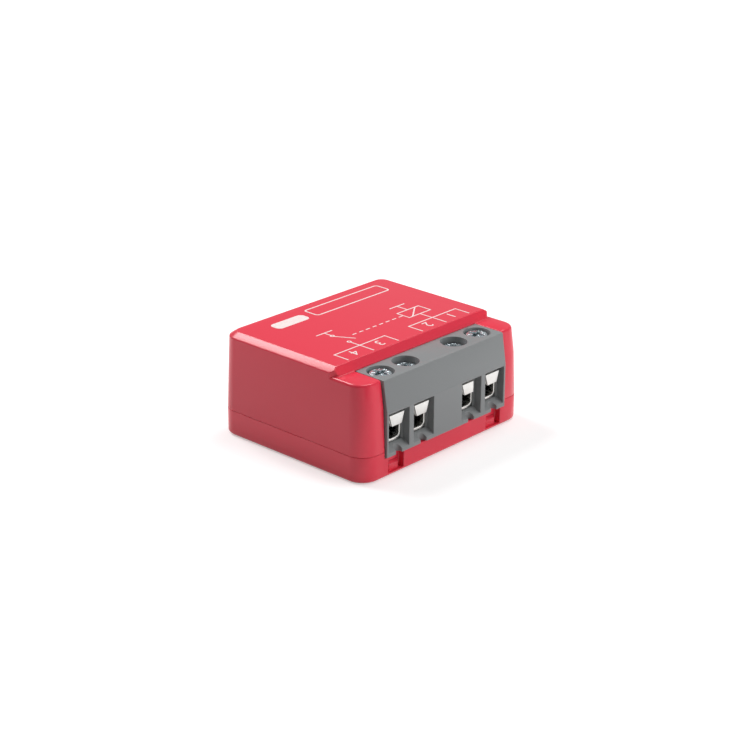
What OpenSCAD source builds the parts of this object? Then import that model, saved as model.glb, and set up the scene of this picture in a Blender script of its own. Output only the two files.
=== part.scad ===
// In-wall smart relay module: a red two-part moulded case, a grey four-pole
// screw terminal block, and the board, relay, supply and radio inside the case.
// Millimetres. The origin is at the centre of the underside, +X runs along the
// row of terminals, -Y points out of the wire windows and +Z is up.

/* [Case] */
// Width of the case along the row of terminals
body_w = 34; // [33:0.5:40]
// Depth of the case, without the terminal block that stands proud of it
body_d = 28.2; // [27.6:0.2:34]
// Height of the case
body_h = 15.5; // [15.3:0.1:18]
// Radius of the four upright corners
corner_r = 2.8; // [2.4:0.1:3.6]
// Thickness of the case walls and roof
wall = 1.2; // [1:0.05:1.4]
// Thickness of the case floor
floor_t = 1.2; // [1:0.05:1.3]
// Height of the seam between the cover and the upper housing
seam_z = 3.85; // [3.7:0.05:4.5]
// Width of the seam line
seam_gap = 0.06; // [0.04:0.02:0.16]
// Inward slope of the upper walls, in millimetres per millimetre of height
draft = 0.042; // [0.02:0.002:0.06]
// Width of the bevel round the raised roof
bevel_w = 1.1; // [0.6:0.1:1.3]
// Height of the bevel round the raised roof
bevel_h = 0.73; // [0.4:0.05:1]
// Height of the raised roof above the shoulders and the terminal block
roof_rise = 1.3; // [1.1:0.05:1.6]
// Depth of the terminal shelf, from the case front to the raised roof
shelf_d = 5.9; // [5.6:0.1:6.4]
// Lean of the step from the terminal shelf up to the raised roof
step_lean = 0.7; // [0.2:0.05:0.8]
// Width of the cut across each front corner of the raised roof
roof_cut = 1; // [0.6:0.1:1.3]
// Height of the crease where the flanks start to lean back
flank_crease_z = 10.3; // [9:0.1:11.5]
// Lean of the flanks above the crease
flank_lean = 0.35; // [0.1:0.05:0.6]
// Radius of the soft edge round the shoulders
shoulder_r = 0.45; // [0.2:0.05:0.6]
// Chamfer round the underside
foot_chamfer = 0.35; // [0.2:0.05:0.6]
// Height of the locating lip on the cover
lip_h = 1.4; // [1:0.1:2]

/* [Terminal block] */
// Distance between neighbouring terminal positions
pole_pitch = 5.08; // [5:0.02:5.2]
// How far the block stands out of the case front
block_proud = 0.3; // [0.2:0.05:0.5]
// Gap between the block and the opening that holds it
block_gap = 0.1; // [0.05:0.05:0.2]
// Height of the crease on the block's front
block_crease_z = 9.6; // [9.5:0.05:10.5]
// Lean of the block's front above the crease
block_lean = 0.73; // [0.4:0.05:0.9]
// Depth of the low rear part of the block under the roof
block_tail = 2.3; // [2:0.1:2.4]
// Width of a wire window
window_w = 4.14; // [4:0.02:4.3]
// Height of a wire window's sill above the board
window_sill = 0.55; // [0.4:0.05:0.7]
// Height of a wire window's upper edge
window_top_z = 9.3; // [9.2:0.05:9.4]
// Depth of the wide recess behind a wire window
window_depth = 1.25; // [1.1:0.05:1.4]
// Width of the small drain notch in each sill
notch_w = 1.2; // [0.8:0.1:1.6]
// Diameter of a screw hole in the block's top
screw_hole_d = 3.9; // [3.7:0.05:4.2]
// Distance of the screw axes from the block's front
screw_setback = 3.55; // [3.4:0.05:3.7]

/* [Clamps] */
// Diameter of the terminal screw's thread
thread_d = 2; // [1.8:0.05:2.15]
// Radial clearance between the screw and the cage's thread
thread_gap = 0.05; // [0.02:0.01:0.08]
// Diameter of the screw's head
head_d = 3.2; // [3:0.05:3.5]
// Height of the screw's head
head_h = 1.6; // [1.2:0.05:1.7]
// Width of the screw's cross recess
cross_w = 0.55; // [0.4:0.05:0.7]
// Depth below the block's top of a screw head that is backed out
sink_high = 0.2; // [0.1:0.05:0.5]
// Depth below the block's top of a screw head that touches its strip
sink_low = 0.75; // [0.6:0.05:1.1]
// Outer width of a clamp cage
cage_w = 3.2; // [3:0.05:3.3]
// Length of a clamp cage along the wire
cage_l = 4.9; // [4.7:0.05:5]
// Sheet thickness of a clamp cage
cage_t = 0.45; // [0.35:0.05:0.5]
// Thickness of the cage's threaded top
cage_top_t = 1.6; // [1.2:0.05:1.7]
// Rise of a cage from open to closed
cage_rise = 1.5; // [1:0.1:1.5]
// Clear height for a wire between the cage floor and the contact strip
wire_clear = 2.05; // [1.9:0.05:2.1]
// Thickness of a contact strip
strip_t = 0.5; // [0.4:0.05:0.6]
// Width of a contact strip
strip_w = 1.95; // [1.7:0.05:2.05]
// Height of a contact strip's underside above the board
strip_rise = 4.1; // [4:0.05:4.2]
// Width of the strip's turned-up front tab at its upper edge
tab_top_w = 3.05; // [2.6:0.05:3.3]
// Distance from its middle to the second strip's straight-cut tab side
tab_side = 0.9; // [0.7:0.05:1.2]

/* [Board] */
// Thickness of the main board
board_t = 1; // [0.8:0.1:1]
// Height of the main board above the case floor
board_stand = 0.8; // [0.8:0.05:0.9]
// Gap between the main board and the case walls
board_gap = 0.25; // [0.15:0.05:0.4]

/* [Control button] */
// Diameter of the button's stem
button_d = 2.9; // [2.4:0.1:3.2]
// Radial clearance of the button's stem in the floor
button_gap = 0.06; // [0.03:0.01:0.1]
// Travel of the button
button_travel = 0.2; // [0.1:0.05:0.2]
// Depth of the button's face below the underside
button_sink = 0.2; // [0.1:0.05:0.3]

/* [Relay] */
// Length of the relay along the terminals
relay_l = 15.2; // [14:0.1:17]
// Width of the relay
relay_w = 9; // [8.2:0.1:9.8]
// Height of the relay
relay_h = 9.6; // [8.8:0.1:10.4]
// Wall of the relay's cover
relay_wall = 0.5; // [0.4:0.05:0.6]

/* [Hidden] */

$fn = 48;
eps = 0.01;

// Case levels and faces
front_y = -(body_d + block_proud) / 2;
case_front_y = front_y + block_proud;
case_back_y = case_front_y + body_d;
shoulder_z = body_h - roof_rise;
step_y = case_front_y + shelf_d;
post_x = body_w / 2 - corner_r;
post_front_y = case_front_y + corner_r;
post_back_y = case_back_y - corner_r;
web_t = 1;
web_back_y = step_y + web_t;
step_slope = 0.15;
step_foot_y = step_y - step_slope;
step_top_y = step_foot_y + step_lean;
lip_setback = 1;
cut_over = 1;
pocket_step = 0.2;

// Board levels
board_z = floor_t + board_stand;
board_top_z = board_z + board_t;
board_w = body_w - 2 * (wall + board_gap);
board_front_y = case_front_y + wall + board_gap;
board_d = body_d - 2 * (wall + board_gap);
board_r = corner_r - wall - board_gap / 2;
pillar = 2.4;

// Terminal block
pole_x = [for (k = [2, 1, -1, -2]) k * pole_pitch];
opening_w = 5 * pole_pitch;
block_w = opening_w - 2 * block_gap;
opening_wall = 1;
block_bottom_z = board_top_z;
block_top_z = shoulder_z;
block_back_y = step_y - block_gap;
tail_drop = 0.9;
tail_top_z = block_top_z - tail_drop;
tail_back_y = block_back_y + block_tail;
sill_z = block_bottom_z + window_sill;
notch_d = 0.9;
screw_y = front_y + screw_setback;
strip_top_gap = 0.05;

// Clamp stack, from the contact strip outwards
strip_z = board_top_z + strip_rise;
strip_top_z = strip_z + strip_t;
cage_in_w = cage_w - 2 * cage_t;
cage_floor_z = strip_z - wire_clear;
cage_z = cage_floor_z - cage_t;
cage_ceiling_gap = 0.25;
cage_ceiling_z = strip_top_z + cage_ceiling_gap;
cage_top_z = cage_ceiling_z + cage_top_t;
cage_front_y = screw_y - cage_l / 2;
cage_back_y = cage_front_y + cage_l;
cage_bend_r = 1.05;
cage_side_gap = 0.15;
cavity_w = cage_w + 2 * cage_side_gap;
cavity_front_y = cage_front_y - cage_side_gap;
cavity_back_y = cage_back_y + cage_side_gap;
cage_end_gap = 0.2;
cavity_z = cage_z - cage_end_gap;
cavity_top_z = cage_top_z + cage_rise + cage_end_gap;
tab_gap = 0.15;
tab_back_y = cage_front_y - tab_gap;
tab_top_gap = 0.5;
tab_top_z = window_top_z - tab_top_gap;
tab_right = [tab_top_w / 2, tab_side, tab_top_w / 2, tab_top_w / 2];
leg_gap = 0.3;
leg_front_y = cavity_back_y + leg_gap;
leg_back_y = leg_front_y + strip_t;
slot_gap = 0.12;
pin_w = 1;
pin_stub = 0.5;
pin_end_z = board_z - pin_stub;
pin_hole_d = 1.5;

// Screws
tip_z = strip_top_z + strip_top_gap;
screw_sink = [sink_high, sink_low, sink_low, sink_high];
cross_l = 2.3;
cross_depth = 0.9;
head_chamfer = 0.25;

// Snap tongues in the cover's front
tongue_x = 10.4;
tongue_notch_w = 3.1;
tongue_w = 1.9;
tongue_h = 1.8;
tongue_sink = 0.5;
tongue_web = 0.25;
tongue_step = 0.15;
tongue_floor_z = foot_chamfer + tongue_step;

// Board edges that the parts on the board are placed from
right_x = board_w / 2;
inner_back_y = case_back_y - wall;

// Control button and switch under the board
button_inset = 6.05;
button_back_gap = 5.05;
button_x = right_x - button_inset;
button_y = inner_back_y - button_back_gap;
ledge_z = floor_t / 2;
flange_step = 0.5;
flange_d = button_d + 2 * flange_step;
flange_lift = 0.02;
flange_t = 0.28;
pocket_gap = 0.25;
pocket_d = flange_d + 2 * pocket_gap;
nub_d = 1.4;
tact_w = 3;
tact_drop = 0.25;
tact_h = board_stand - tact_drop;
tact_z = board_z - tact_h;
plunger_d = 1;
stop_gap = 0.05;
plunger_z = tact_z - button_travel - stop_gap;
plunger_h = tact_h - stop_gap;
led_w = 1.6;
led_d = 0.8;
led_h = 0.5;
led_gap = 1.5;

// Relay, with its own origin at the centre of its underside
relay_side_gap = 0.65;
relay_front_gap = 0.7;
relay_x = relay_l / 2 + relay_side_gap - board_w / 2;
relay_y = tail_back_y + relay_front_gap + relay_w / 2;
relay_gap = 0.1;
relay_base_t = 1.2;
contact_d = 1.4;
contact_h = 0.6;
contact_gap = 0.55;
contact_headroom = 0.3;
contact_z = relay_h - relay_wall - contact_headroom - contact_d / 2;
leaf_t = 0.2;
leaf_w = 3;
leaf_lap = 1.5;
leaf_margin = 0.1;
leaf_room = 0.9;
leaf_x = relay_l / 2 - relay_wall - leaf_room - leaf_t;
armature_t = 0.8;
armature_w = 5;
armature_step = 0.2;
armature_x = leaf_x - armature_t;
armature_top = contact_z - contact_d / 2 - armature_step;
armature_bottom = 1.5;
fixed_t = 0.4;
post_w = 0.7;
post_gap = 0.2;
arm_rise = 0.8;
arm_drop = 0.5;
arm_z = contact_z - arm_drop;
arm_top = contact_z + arm_rise;
yoke_t = 0.8;
yoke_w = 5.4;
yoke_gap = 0.1;
yoke_back_gap = 0.6;
yoke_back_x = relay_wall + yoke_back_gap - relay_l / 2;
yoke_front_x = armature_x - yoke_gap;
yoke_top_z = relay_base_t + yoke_t;
pole_gap = 0.45;
pole_head_t = 0.6;
pole_head_d = 3.4;
pole_face_x = armature_x - pole_gap;
flange_z = yoke_top_z + yoke_gap;
flange_top_z = arm_z - arm_drop;
flange_w = relay_w - 2 * (relay_wall + post_w + 2 * post_gap);
bobbin_flange_t = 0.6;
bobbin_back_x = yoke_back_x + yoke_t + yoke_gap;
bobbin_front_x = pole_face_x - pole_head_t - yoke_gap;
bobbin_d = 3;
core_d = 2.2;
coil_margin = 0.2;
coil_d = min(flange_w, flange_top_z - flange_z) - 2 * coil_margin;
coil_z = (flange_z + flange_top_z) / 2;
relay_pin_d = 0.7;
relay_pin_hole_d = 1;
relay_pin_inset = 1.6;
relay_pin_step = 4;
relay_pin_x = relay_l / 2 - relay_pin_inset;
relay_pin_y = relay_w / 2 - relay_pin_inset;
relay_pin_places = [[-relay_pin_x, -relay_pin_y], [-relay_pin_x, relay_pin_y],
                    [relay_pin_x - relay_pin_step, -relay_pin_y], [relay_pin_x, relay_pin_y]];

// Supply parts to the right of the relay, from the board's right edge and the block's tail
part_gap = 0.3;
cap_inset = 7.55;
cap_front_gap = 0.65;
cap_x = right_x - cap_inset;
input_cap_d = 6.3;
input_cap_h = 9.4;
input_cap_y = tail_back_y + cap_front_gap + input_cap_d / 2;
output_cap_d = 4;
output_cap_h = 7;
output_cap_y = input_cap_y + (input_cap_d + output_cap_d) / 2 + part_gap;
varistor_d = 6.4;
varistor_t = 2.6;
varistor_inset = 0.95;
varistor_front_gap = 1;
varistor_x = right_x - varistor_inset - varistor_t / 2;
varistor_y = tail_back_y + varistor_front_gap + varistor_d / 2;
choke_d = 4.4;
choke_h = 5;
choke_hub_d = 2;
choke_rim = 0.7;
choke_slack = 0.25;
choke_inset = 0.25;
choke_gap = 0.7;
choke_x = right_x - choke_inset - choke_d / 2;
choke_y = varistor_y + (varistor_d + choke_d) / 2 + choke_gap;
resistor_inset = 2.15;
resistor_back_gap = 2.2;
resistor_x = right_x - resistor_inset;
resistor_y = inner_back_y - resistor_back_gap;
lead_d = 0.6;
lead_h = 0.8;

// Chips: length, width, height and lead pitch
chip_stand = 0.15;
chip_lead_w = 0.4;
chip_lead_l = 0.8;
bridge_l = 4.6;
bridge_w = 2.6;
bridge_h = 1.6;
bridge_pitch = 2.5;
bridge_back_gap = 2.7;
bridge_x = cap_x + part_gap;
bridge_y = inner_back_y - bridge_back_gap;
small_chip_w = 2;
small_chip_h = 1.1;
supply_l = 3;
supply_pitch = 0.75;
metering_l = 5;
metering_pitch = 0.8;
chip_row_gap = 2;
chips_y = relay_y + relay_w / 2 + chip_row_gap;
supply_shift = 4.5;
supply_x = relay_x - supply_shift;
metering_shift = 1.2;
metering_x = relay_x + metering_shift;
shunt_l = 5.2;
shunt_w = 2.6;
shunt_shift = 6.2;
shunt_x = metering_x + shunt_shift;

// Radio board along the back wall
radio_shift = 2.7;
radio_x = relay_x + radio_shift;
radio_w = 19;
radio_left_x = radio_x - radio_w / 2;
radio_h = 9.6;
radio_t = 0.8;
radio_back_gap = 0.6;
radio_back_y = inner_back_y - radio_back_gap;
radio_face_y = radio_back_y - radio_t;
radio_margin = 1;
shield_w = 9.5;
shield_h = 6.8;
shield_t = 1.7;
shield_rise = 2;
antenna_gap = 0.8;
antenna_rise = 3;
antenna_reach = 5;
antenna_fold = 1;
antenna_track = 0.4;
antenna_copper = 0.1;
header_pitch = 2;
header_pin = 0.5;
header_rise = 1.3;
header_toe = 1.1;
header_toe_h = 0.3;

// Rounded upright prism made of true cylinders and blocks
module rounded_plate(w, d, h, r) {
    for (sx = [-1, 1], sy = [-1, 1])
        translate([sx * (w / 2 - r), sy * (d / 2 - r), 0]) cylinder(r = r, h = h);
    translate([-w / 2 + r, -d / 2, 0]) cube([w - 2 * r, d, h]);
    translate([-w / 2, -d / 2 + r, 0]) cube([w, d - 2 * r, h]);
}

// Corner radius of the drafted wall at a height, t inside the outer skin
function wall_r(z, t = 0) = corner_r - t - draft * (z - seam_z);

// Points of a quarter round that ends an upright post of radius r
function cap_points(r, top, e) = [for (a = [0:15:90]) [r - e + e * cos(a), top - e + e * sin(a)]];

// Top of an upright post, with its soft edge
module shoulder_cap(r, top, e) {
    rotate_extrude()
        polygon(concat([[0, top - e]], cap_points(r, top, e), [[0, top]]));
}

// A copy of the child at the centre of each corner round
module at_corners() {
    for (x = [-post_x, post_x], y = [post_front_y, post_back_y])
        translate([x, y, 0]) children();
}

// Box between two Y values, wide and tall enough to cut the whole case
module y_slab(y0, y1) {
    translate([-body_w, y0, -body_h]) cube([2 * body_w, y1 - y0, 3 * body_h]);
}

// Outer or inner form of the case below the seam, t inside the outer skin
module lower_form(t, z0, z1, chamfer) {
    hull()
        at_corners()
            rotate_extrude()
                polygon([[0, z0], [corner_r - t - chamfer, z0], [corner_r - t, z0 + chamfer],
                         [corner_r - t, z1], [0, z1]]);
}

// Drafted outer form under the bevelled roof
module roof_form() {
    bevel_z = body_h - bevel_h;
    foot_z = seam_z + seam_gap;
    hull()
        at_corners()
            rotate_extrude()
                polygon([[0, foot_z], [wall_r(foot_z), foot_z], [wall_r(bevel_z), bevel_z],
                         [wall_r(bevel_z) - bevel_w, body_h], [0, body_h]]);
}

// Drafted inner form under the roof
module roof_cavity() {
    foot_z = seam_z - eps;
    top = body_h - wall;
    hull()
        at_corners()
            translate([0, 0, foot_z])
                cylinder(r1 = wall_r(foot_z, wall), r2 = wall_r(top, wall), h = top - foot_z);
}

// Drafted form up to the shoulders with the leaning front, t inside the outer skin
module shoulder_form(t) {
    top = shoulder_z - t;
    soft = t > 0 ? eps : shoulder_r;
    cap_r = wall_r(top - soft, t);
    z0 = t > 0 ? seam_z - eps : seam_z + seam_gap;
    hull()
        for (x = [-post_x, post_x]) {
            translate([x, post_front_y, z0])
                cylinder(r1 = wall_r(z0, t), r2 = wall_r(flank_crease_z, t), h = flank_crease_z - z0);
            translate([x, post_front_y + flank_lean, 0])
                shoulder_cap(cap_r, top, soft);
            translate([x, post_back_y, z0])
                cylinder(r1 = wall_r(z0, t), r2 = cap_r, h = top - soft - z0);
            translate([x, post_back_y, 0])
                shoulder_cap(cap_r, top, soft);
        }
}

// Upright tongue with a sloped nose, set back in its notch
module snap_tongue() {
    nose = 0.4;
    back_y = case_front_y + wall - tongue_web + eps;
    face_y = case_front_y + tongue_sink;
    translate([-tongue_w / 2, 0, 0])
        rotate([90, 0, 90])
            linear_extrude(tongue_w)
                polygon([[face_y, tongue_floor_z - eps], [face_y, tongue_h - nose],
                         [face_y + nose, tongue_h], [back_y, tongue_h],
                         [back_y, tongue_floor_z - eps]]);
}

// Lower cover: floor, low walls, locating lip, board pillars and snap tongues
module base_cover() {
    lip_out = wall / 2 + seam_gap;
    strip_top = block_bottom_z - seam_gap;
    color("#d8323f")
        difference() {
            union() {
                difference() {
                    lower_form(0, 0, seam_z, foot_chamfer);
                    lower_form(wall, floor_t, body_h, 0);
                    translate([-opening_w / 2, case_front_y - eps, strip_top])
                        cube([opening_w, wall + 2 * eps, seam_z]);
                    for (sx = [-1, 1])
                        translate([sx * tongue_x - tongue_notch_w / 2, case_front_y - eps,
                                   tongue_floor_z])
                            cube([tongue_notch_w, wall - tongue_web + eps, seam_z]);
                }
                intersection() {
                    difference() {
                        lower_form(lip_out, seam_z - wall, seam_z + lip_h, 0);
                        lower_form(wall, floor_t, body_h, 0);
                    }
                    y_slab(web_back_y + lip_setback, case_back_y);
                }
                for (sx = [-1, 1])
                    translate([sx * tongue_x, 0, 0]) snap_tongue();
                for (x = [-1, 1], y = [board_front_y + pillar / 2 + corner_r, post_back_y])
                    translate([x * (board_w / 2 - pillar / 2) - pillar / 2, y - pillar / 2, floor_t - eps])
                        cube([pillar, pillar, board_stand + eps]);
            }
            translate([button_x, button_y, -eps])
                cylinder(d = button_d + 2 * button_gap, h = floor_t);
            translate([button_x, button_y, ledge_z])
                cylinder(d = pocket_d, h = floor_t);
        }
}

// Upper housing: drafted shell with a raised roof and an open terminal shelf
module upper_housing() {
    pocket_x = opening_w / 2 + opening_wall;
    web_z = tail_top_z + block_gap;
    wide_x = body_w / 2 + cut_over;
    cut_x = post_x + wall_r(shoulder_z) - roof_cut;
    color("#e23b48")
        difference() {
            union() {
                shoulder_form(0);
                intersection() {
                    roof_form();
                    rotate([90, 0, 90])
                        translate([0, 0, -body_w])
                            linear_extrude(2 * body_w)
                                polygon([[step_foot_y, 0], [step_foot_y, shoulder_z],
                                         [step_top_y, body_h], [case_back_y, body_h], [case_back_y, 0]]);
                    linear_extrude(2 * body_h)
                        polygon([[-wide_x, case_back_y], [-wide_x, step_foot_y + wide_x - cut_x],
                                 [-cut_x, step_foot_y], [cut_x, step_foot_y],
                                 [wide_x, step_foot_y + wide_x - cut_x], [wide_x, case_back_y]]);
                }
            }
            intersection() {
                roof_cavity();
                y_slab(web_back_y, case_back_y);
            }
            intersection() {
                shoulder_form(wall + pocket_step);
                y_slab(case_front_y, web_back_y + eps);
                for (sx = [-1, 1])
                    translate([sx * (pocket_x + body_w / 2), 0, 0])
                        cube([body_w, 4 * body_d, 4 * body_h], center = true);
            }
            intersection() {
                lower_form(wall / 2, seam_z - eps, seam_z + lip_h + 2 * seam_gap, 0);
                y_slab(web_back_y + lip_setback - seam_gap, case_back_y);
            }
            translate([-opening_w / 2, case_front_y - body_d, -eps])
                cube([opening_w, body_d + shelf_d - step_slope, 2 * body_h]);
            translate([-opening_w / 2, step_y - cut_over, -eps])
                cube([opening_w, web_t + cut_over + eps, web_z + eps]);
        }
}

// Cavity of one pole in the block: window with a sloped sill, cage shaft, screw hole, strip slot
module pole_cavity() {
    translate([-window_w / 2, 0, 0])
        rotate([90, 0, 90])
            linear_extrude(window_w)
                polygon([[front_y - eps, sill_z], [front_y + window_depth, cavity_z],
                         [front_y + window_depth, window_top_z], [front_y - eps, window_top_z]]);
    translate([-cavity_w / 2, cavity_front_y, cavity_z])
        cube([cavity_w, cavity_back_y - cavity_front_y, cavity_top_z - cavity_z]);
    translate([0, screw_y, cavity_top_z - eps])
        cylinder(d = screw_hole_d, h = block_top_z - cavity_top_z + 2 * eps);
    translate([-strip_w / 2 - slot_gap, cavity_back_y - eps, block_bottom_z - eps])
        cube([strip_w + 2 * slot_gap, leg_back_y + slot_gap - cavity_back_y + eps,
              strip_top_z + slot_gap - block_bottom_z + eps]);
    translate([0, front_y + notch_d - notch_w / 2, block_bottom_z - eps])
        cylinder(d = notch_w, h = cavity_z - block_bottom_z + eps);
    translate([-notch_w / 2, front_y - eps, block_bottom_z - eps])
        cube([notch_w, notch_d - notch_w / 2 + eps, cavity_z - block_bottom_z + eps]);
}

// Grey terminal block with a leaning front, four windows and four screw holes
module terminal_block() {
    color("#8a8b8c")
        difference() {
            translate([-block_w / 2, 0, 0])
                rotate([90, 0, 90])
                    linear_extrude(block_w)
                        polygon([[front_y, block_bottom_z], [front_y, block_crease_z],
                                 [front_y + block_lean, block_top_z],
                                 [block_back_y - step_slope, block_top_z],
                                 [block_back_y - step_slope, tail_top_z], [tail_back_y, tail_top_z],
                                 [tail_back_y, block_bottom_z]]);
            for (x = pole_x)
                translate([x, 0, 0]) pole_cavity();
        }
}

// Contact strip: turned-up front tab, flat bar through the cage, leg and solder pin
module contact_strip(right) {
    translate([0, tab_back_y, 0])
        rotate([90, 0, 0])
            linear_extrude(strip_t)
                polygon([[-strip_w / 2, strip_z], [min(strip_w / 2, right), strip_z],
                         [right, tab_top_z], [-tab_top_w / 2, tab_top_z]]);
    translate([-strip_w / 2, tab_back_y - eps, strip_z])
        cube([strip_w, leg_back_y - tab_back_y + eps, strip_t]);
    translate([-strip_w / 2, leg_front_y, board_top_z])
        cube([strip_w, strip_t, strip_z - board_top_z + eps]);
    translate([-pin_w / 2, leg_front_y, pin_end_z])
        cube([pin_w, strip_t, board_top_z - pin_end_z + eps]);
}

// The four fixed contact strips
module contact_strips() {
    color("#d9d9d4")
        for (k = [0:3])
            translate([pole_x[k], 0, 0]) contact_strip(tab_right[k]);
}

// Upright section of a bent sheet with two rounded lower corners
module u_section(w, h, r) {
    translate([-w / 2, r]) square([w, h - r]);
    translate([-w / 2 + r, 0]) square([w - 2 * r, r + eps]);
    for (sx = [-1, 1])
        translate([sx * (w / 2 - r), r]) circle(r = r);
}

// Bent clamp cage with a threaded top, which rises as its screw turns
module clamp_cage(k) {
    color("#dcdcd8")
        translate([pole_x[k - 1], 0, 0])
            difference() {
                translate([0, cage_back_y, cage_z])
                    rotate([90, 0, 0])
                        linear_extrude(cage_l)
                            difference() {
                                u_section(cage_w, cage_top_z - cage_z, cage_bend_r);
                                translate([0, cage_t])
                                    u_section(cage_in_w, cage_ceiling_z - cage_floor_z,
                                              cage_bend_r - cage_t);
                            }
                translate([0, screw_y, cage_ceiling_z - eps])
                    cylinder(d = thread_d + 2 * thread_gap, h = cage_top_t + 2 * eps);
            }
}

// Terminal screw with a flat head, cross recess and plain shank
module terminal_screw(k) {
    head_top = block_top_z - screw_sink[k - 1];
    head_z = head_top - head_h;
    low_head_z = block_top_z - sink_low - head_h;
    end_z = tip_z + head_z - low_head_z;
    tip_chamfer = 0.3;
    color("#b9c4c6")
        translate([pole_x[k - 1], screw_y, 0])
            difference() {
                rotate_extrude()
                    polygon([[0, end_z], [thread_d / 2 - tip_chamfer, end_z],
                             [thread_d / 2, end_z + tip_chamfer], [thread_d / 2, head_z],
                             [head_d / 2, head_z], [head_d / 2, head_top - head_chamfer],
                             [head_d / 2 - head_chamfer, head_top], [0, head_top]]);
                for (a = [0, 90])
                    rotate(a)
                        translate([-cross_l / 2, -cross_w / 2, head_top - cross_depth])
                            cube([cross_l, cross_w, cross_depth + eps]);
            }
}

// Main board with round holes for the strip pins and the relay pins
module main_board() {
    color("#2f6b45")
        difference() {
            translate([0, board_front_y + board_d / 2, board_z])
                rounded_plate(board_w, board_d, board_t, board_r);
            for (x = pole_x)
                translate([x, leg_front_y + strip_t / 2, board_z - eps])
                    cylinder(d = pin_hole_d, h = board_t + 2 * eps);
            for (p = relay_pin_places)
                translate([relay_x + p[0], relay_y + p[1], board_z - eps])
                    cylinder(d = relay_pin_hole_d, h = board_t + 2 * eps);
        }
}

// Places its children in the relay's own frame
module in_relay() {
    translate([relay_x, relay_y, board_top_z]) children();
}

// Disc or tube along the relay's coil axis, from x0 to x1
module along_coil(x0, x1, d) {
    translate([x0, 0, coil_z])
        rotate([0, 90, 0])
            cylinder(d = d, h = x1 - x0);
}

// Relay base plate that closes the cover
module relay_base() {
    l = relay_l - 2 * (relay_wall + relay_gap);
    w = relay_w - 2 * (relay_wall + relay_gap);
    color("#22262b")
        in_relay()
            translate([-l / 2, -w / 2, 0]) cube([l, w, relay_base_t]);
}

// Relay cover, a thin box that is open below
module relay_cover() {
    color("#2a2f36")
        in_relay()
            difference() {
                rounded_plate(relay_l, relay_w, relay_h, relay_wall);
                translate([-relay_l / 2 + relay_wall, -relay_w / 2 + relay_wall, -eps])
                    cube([relay_l - 2 * relay_wall, relay_w - 2 * relay_wall, relay_h - relay_wall + eps]);
            }
}

// L-shaped iron yoke under and behind the coil
module relay_yoke() {
    color("#8f9296")
        in_relay()
            difference() {
                union() {
                    translate([yoke_back_x, -yoke_w / 2, relay_base_t])
                        cube([yoke_front_x - yoke_back_x, yoke_w, yoke_t]);
                    translate([yoke_back_x, -yoke_w / 2, relay_base_t])
                        cube([yoke_t, yoke_w, flange_top_z - relay_base_t]);
                }
                along_coil(yoke_back_x - eps, yoke_back_x + yoke_t + eps, core_d + 2 * thread_gap);
            }
}

// Iron core with a wider pole face, riveted in the yoke
module relay_core() {
    color("#a4a7aa")
        in_relay() {
            along_coil(yoke_back_x, pole_face_x, core_d);
            along_coil(pole_face_x - pole_head_t, pole_face_x, pole_head_d);
        }
}

// Moulded bobbin: a tube between two square flanges
module relay_bobbin() {
    color("#e8e4d8")
        in_relay()
            difference() {
                union() {
                    along_coil(bobbin_back_x, bobbin_front_x, bobbin_d);
                    for (x = [bobbin_back_x, bobbin_front_x - bobbin_flange_t])
                        translate([x, -flange_w / 2, flange_z])
                            cube([bobbin_flange_t, flange_w, flange_top_z - flange_z]);
                }
                along_coil(bobbin_back_x - eps, bobbin_front_x + eps, core_d + 2 * thread_gap);
            }
}

// Copper winding on the bobbin
module relay_coil() {
    back_x = bobbin_back_x + bobbin_flange_t + thread_gap;
    front_x = bobbin_front_x - bobbin_flange_t - thread_gap;
    color("#b5653a")
        in_relay()
            difference() {
                along_coil(back_x, front_x, coil_d);
                along_coil(back_x - eps, front_x + eps, bobbin_d + 2 * thread_gap);
            }
}

// Hinged iron armature in front of the pole face
module relay_armature() {
    color("#9a9da0")
        in_relay()
            translate([armature_x, -armature_w / 2, armature_bottom])
                cube([armature_t, armature_w, armature_top - armature_bottom]);
}

// Leaf spring on the armature, with the moving contact at its upper end
module relay_contact_spring() {
    leaf_z = armature_bottom + leaf_lap;
    leaf_top = contact_z + contact_d / 2 + leaf_margin;
    color("#c08a4e")
        in_relay() {
            translate([leaf_x, -leaf_w / 2, leaf_z])
                cube([leaf_t, leaf_w, leaf_top - leaf_z]);
            translate([leaf_x - contact_h, 0, contact_z])
                rotate([0, 90, 0])
                    cylinder(d = contact_d, h = contact_h + eps);
        }
}

// Fixed contact on a bent post that stands beside the coil
module relay_fixed_contact() {
    face_x = leaf_x - contact_h - contact_gap;
    post_x = face_x - 2 * fixed_t;
    post_y = flange_w / 2 + post_gap;
    color("#c9a15c")
        in_relay() {
            translate([post_x, post_y, relay_base_t])
                cube([fixed_t, post_w, arm_top - relay_base_t]);
            translate([post_x, -contact_d / 2, arm_z])
                cube([fixed_t, post_y + post_w + contact_d / 2, arm_top - arm_z]);
            translate([post_x + fixed_t - eps, 0, contact_z])
                rotate([0, 90, 0])
                    cylinder(d = contact_d, h = fixed_t + eps);
        }
}

// Round solder pins under the relay base
module relay_pins() {
    color("#d8d8d4")
        in_relay()
            for (p = relay_pin_places)
                translate([p[0], p[1], pin_end_z - board_top_z])
                    cylinder(d = relay_pin_d, h = board_top_z - pin_end_z);
}

// Electrolytic can with a crimp groove, standing on the board
module can_capacitor(d, h) {
    crimp_z = 1.4;
    crimp = 0.25;
    edge = 0.35;
    rotate_extrude()
        polygon([[0, 0], [d / 2, 0], [d / 2, crimp_z - crimp], [d / 2 - crimp, crimp_z],
                 [d / 2, crimp_z + crimp], [d / 2, h - edge], [d / 2 - edge, h], [0, h]]);
}

// High-voltage input capacitor
module input_capacitor() {
    color("#33363c")
        translate([cap_x, input_cap_y, board_top_z]) can_capacitor(input_cap_d, input_cap_h);
}

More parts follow.
